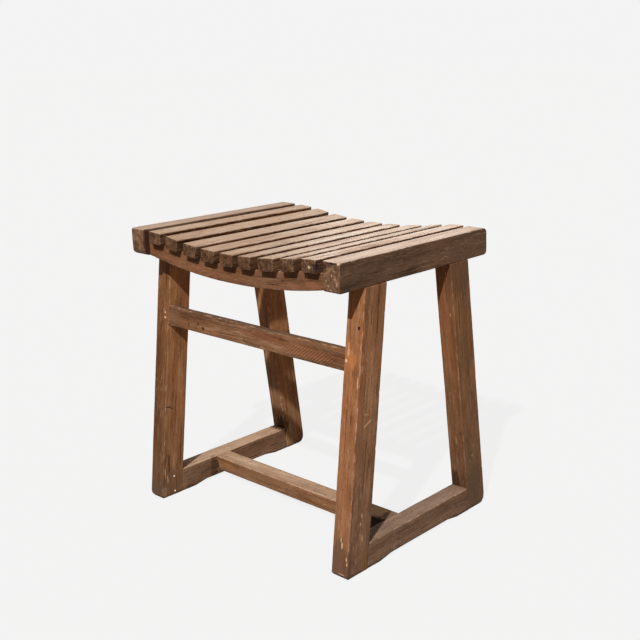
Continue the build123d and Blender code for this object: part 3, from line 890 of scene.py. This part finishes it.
for index in range(1, SLAT_COUNT + 1):
    low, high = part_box(f"seat_slat_{index}")
    middle_x = (low.x + high.x) / 2
    turn = math.atan(seat_slope(middle_x))
    middle_x -= math.sin(turn) * SLAT_THICKNESS / 2
    turn = math.atan(seat_slope(middle_x))
    lean = abs(math.sin(turn))
    width = (high.x - low.x - SLAT_THICKNESS * lean) / math.cos(turn)
    middle_z = high.z - width / 2 * lean
    timber(
        f"seat_slat_{index}",
        (high.y - low.y, width, SLAT_THICKNESS),
        slat_place(middle_x, middle_z, turn),
        seat_wood,
        seed=3.1 * index,
        arris=0.0013,
    )


# Outer rails
INNER_END_WEAR = 0.0035


def outer_rail_place(side, corners):
    """Where an outer rail's points go: along Y, each corner of its ends rounded by its wear."""
    def place(along, across, deep):
        end = HALF_LENGTH - np.abs(along)
        inner = RAIL_THICKNESS / 2 - side * across
        worn_end, worn_inner = round_corner(end, inner, INNER_END_WEAR)
        end = np.where(along < 0, worn_end, end)
        across = np.where(along < 0, side * (RAIL_THICKNESS / 2 - worn_inner), across)
        top = RAIL_HEIGHT / 2 - np.abs(deep)
        worn = np.array(corners)[(along > 0) * 2 + (deep > 0)]
        end, top = round_corner(end, top, worn)
        y = np.sign(along) * (HALF_LENGTH - end)
        z = SEAT_TOP - RAIL_HEIGHT / 2 + np.sign(deep) * (RAIL_HEIGHT / 2 - top)
        return side * LEG_MIDDLE - across, y, z
    return place


# Wear at the front's bottom and top corners, then at the back's
RAIL_CORNERS = {"left": (0.012, 0.0055, 0.0045, 0.0045), "right": (0.0045, 0.0036, 0.010, 0.012)}

for name, side in SIDES.items():
    timber(
        f"outer_rail_{name}",
        (2 * HALF_LENGTH, RAIL_THICKNESS, RAIL_HEIGHT),
        outer_rail_place(side, RAIL_CORNERS[name]),
        rail_wood,
        seed=41.0 + side,
        arris=0.0018,
    )


# Bearers
def bearer_place(end):
    """Where a bearer's points go: along X, bent to the dish above and arched below."""
    rise = seat_height(0.0) - SLAT_THICKNESS - BEARER_HEIGHT - RAIL_UNDERSIDE
    radius = (INNER_HALF**2 + rise**2) / (2 * abs(rise))

    def place(along, across, deep):
        across, deep = housed(along, across, deep, INNER_HALF)
        upper = seat_height(along) - SLAT_THICKNESS
        lower = RAIL_UNDERSIDE + rise + radius - np.sqrt(radius**2 - along**2)
        share = deep / BEARER_HEIGHT + 0.5
        middle_y = end * (HALF_LENGTH - BEARER_SETBACK - BEARER_THICKNESS / 2)
        return along, middle_y + across, lower + share * (upper - lower)
    return place


bearers = {}
for name, end in ENDS.items():
    bearers[name] = timber(
        f"bearer_{name}",
        (2 * (INNER_HALF + HOUSING), BEARER_THICKNESS, BEARER_HEIGHT),
        bearer_place(end),
        bearer_wood,
        seed=57.0 + end,
    )


# Legs
def leg_place(side, end, worn_side, heel, foot_wear, fuller_outside, fuller_inside):
    """Where a leg's points go: up from the floor, leaning in, its heel and its foot rounded."""
    length = RAIL_UNDERSIDE + HOUSING

    def place(along, across, deep):
        z = along + length / 2
        across, deep = housed(z, across, deep, RAIL_UNDERSIDE)
        outer = LEG_DEPTH / 2 - end * deep
        outer, z = round_corner(outer, z, heel)
        beside = LEG_THICKNESS / 2 - worn_side * across
        beside, z = round_corner(beside, z, foot_wear)
        share = outer / LEG_DEPTH
        outward = np.minimum(fuller_outside, SPLAY * z) * (1 - share) - fuller_inside * share
        y = end * (leg_face(z) - outer + outward)
        return side * LEG_MIDDLE + worn_side * (LEG_THICKNESS / 2 - beside), y, z
    return place


# Each foot's worn side, the wear at its heel and side, and how much fuller its leg is, outside and in
LEG_SHAPES = {
    ("front", "left"): (-1, 0.006, 0.014, 0.0, 0.0),
    ("front", "right"): (-1, 0.006, 0.008, 0.0, 0.0030),
    ("back", "left"): (-1, 0.014, 0.004, 0.0022, 0.0),
    ("back", "right"): (1, 0.015, 0.003, 0.0022, 0.0),
}
for side_name, side in SIDES.items():
    for end_name, end in ENDS.items():
        timber(
            f"leg_{end_name}_{side_name}",
            (RAIL_UNDERSIDE + HOUSING, LEG_THICKNESS, LEG_DEPTH),
            leg_place(side, end, *LEG_SHAPES[end_name, side_name]),
            leg_woods[end_name, side_name],
            seed=71.0 + 5 * side + 2 * end,
            arris=0.0014,
        )


# Bottom rails
def bottom_rail_place(side):
    """Where a bottom rail's points go: along Y between the legs, relieved underneath."""
    half = leg_face(0.0) - LEG_DEPTH

    def place(along, across, deep):
        z = deep + BOTTOM_RAIL_HEIGHT / 2
        shoulder = leg_face(z) - LEG_DEPTH
        y = along / half * shoulder
        across, deep = housed(y, across, deep, shoulder)
        z = deep + BOTTOM_RAIL_HEIGHT / 2
        inward = HALF_LENGTH - PAD_LENGTH - np.abs(y)
        lift = RELIEF_HEIGHT * np.clip(inward / RELIEF_RAMP, 0, 1)
        return side * LEG_MIDDLE - across, y, lift + z * (1 - lift / BOTTOM_RAIL_HEIGHT)
    return place


for name, side in SIDES.items():
    timber(
        f"bottom_rail_{name}",
        (2 * (leg_face(0.0) - LEG_DEPTH + HOUSING), LEG_THICKNESS, BOTTOM_RAIL_HEIGHT),
        bottom_rail_place(side),
        foot_rail_woods[name],
        seed=91.0 + side,
        arris=0.0018,
    )


# Cross stretcher
CROSS_CHAMFER = 0.008


def cross_place(along, across, deep):
    """Where the cross stretcher's points go: along X, the underside of its left end cut away."""
    low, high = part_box("cross_stretcher")
    across, deep = housed(along, across, deep, LEG_INNER_FACE)
    from_end = along + LEG_INNER_FACE
    lift = np.clip(CROSS_CHAMFER - from_end, 0, CROSS_CHAMFER)
    share = 0.5 - deep / CROSS_HEIGHT
    return along, (low.y + high.y) / 2 + across, high.z - CROSS_HEIGHT / 2 + deep + lift * share


timber(
    "cross_stretcher",
    (2 * (LEG_INNER_FACE + HOUSING), CROSS_WIDTH, CROSS_HEIGHT),
    cross_place,
    cross_wood,
    seed=101.0,
)


# Upper stretcher
UPPER_HUMP = 0.0022
UPPER_HUMP_REACH = 0.011


def upper_place(along, across, deep):
    """Where the upper stretcher's points go: along X, leaning with the front legs."""
    across, deep = housed(along, across, deep, LEG_INNER_FACE)
    swollen = np.exp(-(((along + LEG_INNER_FACE) / UPPER_HUMP_REACH - 1) ** 2))
    deep = deep + UPPER_HUMP * swollen * (deep / UPPER_HEIGHT + 0.5)
    stretch = math.hypot(1, SPLAY)
    inward = (across + UPPER_THICKNESS / 2) / stretch
    upward = deep / stretch
    y = -leg_face(UPPER_LEVEL) + inward + upward * SPLAY
    return along, y, UPPER_LEVEL - inward * SPLAY + upward


timber(
    "upper_stretcher",
    (2 * (LEG_INNER_FACE + HOUSING), UPPER_THICKNESS, UPPER_HEIGHT),
    upper_place,
    upper_wood,
    seed=113.0,
)


# Steel pins and screws
HEAD_EDGE_SHARE = 0.97
TIP_BLUNTNESS = 0.15
PLAIN_SHANK_SHARE = 0.4


def turned_fastener_tree():
    """Geometry nodes that set one pin or screw, turned on a lathe, at each point of a mesh.

    The points carry the way that each one points, in the attribute aim. It is a pin, unless
    its inputs say otherwise.
    """
    sockets = {
        "Heads": "Geometry",
        "Head Radius": PIN_HEAD_RADIUS,
        "Head Height": PIN_HEAD_HEIGHT,
        "Countersink": 0.0,
        "Shank Radius": PIN_SHANK_RADIUS,
        "Length": PIN_LENGTH,
        "Tip Length": PIN_TIP_LENGTH,
        "Thread Depth": 0.0,
        "Thread Pitch": SCREW_THREAD_PITCH,
        "Slot Width": 0.0,
        "Slot Depth": SCREW_SLOT_DEPTH,
        "Finish": "Material",
    }
    tree, given = growth_tree("turned_fastener", sockets, "Fasteners")
    blank = {"Vertices": 28, "Side Segments": 120, "Fill Segments": 8, "Radius": 1.0, "Depth": 1.0}
    blank = node(tree, "GeometryNodeMeshCylinder", blank).outputs["Mesh"]
    lathe_place = node(tree, "GeometryNodeInputPosition").outputs[0]
    spot = parts_of(tree, lathe_place)
    along = times(tree, math_of(tree, "ADD", spot[2], 0.5), given["Length"])
    sink_start = times(tree, given["Head Height"], HEAD_EDGE_SHARE)
    sink_start = times(tree, sink_start, minus(tree, 1.0, given["Countersink"]))
    radii = (given["Head Radius"], given["Shank Radius"])
    to_shank = ramp_of(tree, along, sink_start, given["Head Height"], *radii)
    tip_start = minus(tree, given["Length"], given["Tip Length"])
    to_tip = ramp_of(tree, along, tip_start, given["Length"], 1.0, TIP_BLUNTNESS)
    turns = math_of(tree, "DIVIDE", along, given["Thread Pitch"])
    angle = math_of(tree, "ARCTAN2", spot[1], spot[0])
    phase = math_of(tree, "MULTIPLY_ADD", turns, math.tau, angle)
    wave = math_of(tree, "MULTIPLY_ADD", math_of(tree, "SINE", phase), 0.5, -0.5)
    thread_start = times(tree, given["Length"], PLAIN_SHANK_SHARE)
    threaded = math_of(tree, "GREATER_THAN", along, thread_start)
    cut = times(tree, times(tree, wave, threaded), given["Thread Depth"])
    radius = times(tree, math_of(tree, "ADD", to_shank, cut), to_tip)
    sideways = [times(tree, spot[axis], radius) for axis in (0, 1)]
    from_axis = vector_of(tree, "LENGTH", vector_of(tree, "MULTIPLY", lathe_place, (1, 1, 0)))
    blank = kept_as(tree, blank, "rim", "FLOAT", from_axis)
    turned = {"Geometry": blank, "Position": vector_from(tree, *sideways, along)}
    turned = node(tree, "GeometryNodeSetPosition", turned).outputs[0]
    slot_length = times(tree, given["Head Radius"], 3.0)
    slot_height = times(tree, given["Slot Depth"], 2.0)
    slot = {"Size": vector_from(tree, slot_length, given["Slot Width"], slot_height)}
    slotted = cut_from(tree, turned, node(tree, "GeometryNodeMeshCube", slot).outputs["Mesh"])
    has_slot = math_of(tree, "GREATER_THAN", given["Slot Width"], 0.0)
    chosen = {"Switch": has_slot, "False": turned, "True": slotted}
    chosen = node(tree, "GeometryNodeSwitch", chosen, input_type="GEOMETRY").outputs[0]
    end_growth(tree, set_at_heads(tree, given["Heads"], chosen), given["Finish"])
    return tree


def fastener_places(name):
    """Where a fastener node's solids have their heads, and the ways that they point."""
    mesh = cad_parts[name].data
    corners = [tuple(round(part, 7) for part in vertex.co) for vertex in mesh.vertices]
    solids = {corner: {corner} for corner in corners}
    for edge in mesh.edges:
        first, second = (solids[corners[index]] for index in edge.vertices)
        if first is not second:
            first |= second
            for corner in second:
                solids[corner] = first
    places = []
    for solid in {id(solid): solid for solid in solids.values()}.values():
        points = np.array(sorted(solid))
        middle = points.mean(axis=0)
        axis = np.linalg.svd(points - middle)[2][0]
        reach = (points - middle) @ axis
        spread = np.linalg.norm(points - middle - np.outer(reach, axis), axis=1)
        if reach[spread.argmax()] > 0:
            axis = -axis
            reach = -reach
        places.append((middle + axis * reach.min(), axis))
    return sorted(places, key=lambda place: tuple(place[0]))


def aimed_points(name, places):
    """A mesh of bare points that carry the ways they point."""
    mesh = bpy.data.meshes.new(name)
    mesh.from_pydata([tuple(start) for start, _ in places], [], [])
    aim = mesh.attributes.new("aim", "FLOAT_VECTOR", "POINT")
    aim.data.foreach_set("vector", np.ravel([axis for _, axis in places]))
    return placed(name, mesh)


def counterbore_tree():
    """Geometry nodes that bore a round hole back from each screw's head, through a timber."""
    sockets = {
        "Timber": "Geometry",
        "Heads": "Object",
        "Radius": "Float",
        "Depth": "Float",
        "Finish": "Material",
    }
    tree, given = growth_tree("counterbore", sockets, "Bored")
    heads = node(tree, "GeometryNodeObjectInfo", {"Object": given["Heads"]}).outputs["Geometry"]
    bit = {"Vertices": 32, "Radius": given["Radius"], "Depth": given["Depth"]}
    bit = node(tree, "GeometryNodeMeshCylinder", bit).outputs["Mesh"]
    drop = vector_from(tree, 0.0, 0.0, times(tree, given["Depth"], -0.5))
    bit = node(tree, "GeometryNodeTransform", {"Geometry": bit, "Translation": drop}).outputs[0]
    bits = made_real(tree, set_at_heads(tree, heads, bit))
    end_growth(tree, cut_from(tree, given["Timber"], bits), given["Finish"])
    return tree


def fasteners(name, finish, **settings):
    """Turned pins or screws that stand for a CAD node, at the same places."""
    obj = aimed_points(f"{name}_turned", fastener_places(name))
    grown(obj, fastener_tree, dict(settings, Finish=finish))
    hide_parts(name)
    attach(obj, "root")


fastener_tree = turned_fastener_tree()
SCREW = {
    "Head Radius": SCREW_HEAD_RADIUS,
    "Head Height": SCREW_HEAD_HEIGHT,
    "Countersink": 1.0,
    "Shank Radius": SCREW_SHANK_RADIUS,
    "Length": SCREW_LENGTH,
    "Tip Length": SCREW_TIP_LENGTH,
    "Thread Depth": SCREW_THREAD_DEPTH,
    "Slot Width": SCREW_SLOT_WIDTH,
}
fasteners("upper_stretcher_pins_left", worn_steel)
fasteners("upper_stretcher_pins_right", tarnished_steel)
for side_name in SIDES:
    for end_name in ENDS:
        shows = (end_name, side_name) == ("front", "left")
        fasteners(f"foot_pins_{end_name}_{side_name}", bright_steel if shows else rusty_steel)
bore_tree = counterbore_tree()
for end_name in ENDS:
    fasteners(f"slat_screws_{end_name}", rusty_steel, **SCREW)
    heads = aimed_points("screw_heads", fastener_places(f"slat_screws_{end_name}"))
    bore = {"Heads": heads, "Radius": SCREW_HEAD_RADIUS + BORE_PLAY, "Depth": BEARER_HEIGHT}
    grown(bearers[end_name], bore_tree, dict(bore, Finish=bearer_wood))
    bpy.data.objects.remove(heads)


# Stage: a pale floor, a soft key light from the front and pale air all round
def seen_share(tree):
    """1 for what the camera sees, also in a mirror or through glass, and 0 for what only lights."""
    path = node(tree, "ShaderNodeLightPath").outputs
    seen = math_of(tree, "MAXIMUM", path["Is Camera Ray"], path["Is Glossy Ray"])
    return math_of(tree, "MAXIMUM", seen, path["Is Transmission Ray"])


FLOOR_SIZE = 60.0
PALE = srgb(243, 243, 243)[0]
FLOOR_BOUNCE = (0.36, 0.30, 0.25)
SHADOW_DEPTH = 0.055
WORLD_LIGHT = (0.25, 0.205, 0.165)
KEY_DIRECTION = Vector((0.44, -0.93, 1.0))
KEY_STRENGTH = 3.6
KEY_ANGLE = math.radians(1.5)

floor_mesh = bpy.data.meshes.new("floor")
corner = FLOOR_SIZE / 2
corners = [(-corner, -corner, 0), (corner, -corner, 0), (corner, corner, 0), (-corner, corner, 0)]
floor_mesh.from_pydata(corners, [], [(0, 1, 2, 3)])
floor = placed("floor", floor_mesh)
floor_material, floor_tree, floor_shader = new_finish("pale_floor")
floor_shader.inputs["Roughness"].default_value = 0.9
floor_shader.inputs["Specular IOR Level"].default_value = 0.0
seen = seen_share(floor_tree)
lit_share = mixed(floor_tree, seen, FLOOR_BOUNCE, (PALE * SHADOW_DEPTH,) * 3)
floor_tree.links.new(lit_share, floor_shader.inputs["Base Color"])
floor_glow = times(floor_tree, seen, PALE * (1 - SHADOW_DEPTH))
floor_tree.links.new(floor_glow, floor_shader.inputs["Emission Strength"])
floor.data.materials.append(floor_material)

world = bpy.data.worlds.new("pale_air")
world.use_nodes = True
bpy.context.scene.world = world
world_tree = world.node_tree
world_shader = world_tree.nodes["Background"]
air = mixed(world_tree, seen_share(world_tree), WORLD_LIGHT, (PALE, PALE, PALE))
world_tree.links.new(air, world_shader.inputs["Color"])

key_data = bpy.data.lights.new("key", "SUN")
key_data.energy = KEY_STRENGTH
key_data.angle = KEY_ANGLE
key = placed("key", key_data)
key.rotation_mode = "QUATERNION"
key.rotation_quaternion = KEY_DIRECTION.to_track_quat("Z", "Y")


# Camera
PHOTO_SIZE = 640
FOCAL_PIXELS = 1014.37
CENTRE_PIXEL = (375, 300)
CAMERA_AZIMUTH = math.radians(41.331)
CAMERA_ELEVATION = math.radians(14.123)
CAMERA_ROLL = math.radians(-0.905)
CAMERA_DISTANCE = 1.595816
CAMERA_TARGET = Vector((0.069162, 0.077433, 0.330158))

camera_data = bpy.data.cameras.new("camera")
camera_data.sensor_width = 36.0
camera_data.lens = FOCAL_PIXELS * camera_data.sensor_width / PHOTO_SIZE
camera_data.shift_x = (PHOTO_SIZE / 2 - CENTRE_PIXEL[0]) / PHOTO_SIZE
camera_data.shift_y = (CENTRE_PIXEL[1] - PHOTO_SIZE / 2) / PHOTO_SIZE
camera_data.clip_start = 0.05
camera_data.clip_end = 100.0
camera = placed("camera", camera_data)
facing = Matrix.Rotation(CAMERA_AZIMUTH, 4, "Z")
facing = facing @ Matrix.Rotation(math.pi / 2 - CAMERA_ELEVATION, 4, "X")
facing = facing @ Matrix.Rotation(CAMERA_ROLL, 4, "Z")
back_off = Matrix.Translation((0, 0, CAMERA_DISTANCE))
camera.matrix_world = Matrix.Translation(CAMERA_TARGET) @ facing @ back_off
bpy.context.scene.camera = camera
bpy.context.scene.view_settings.view_transform = "Standard"
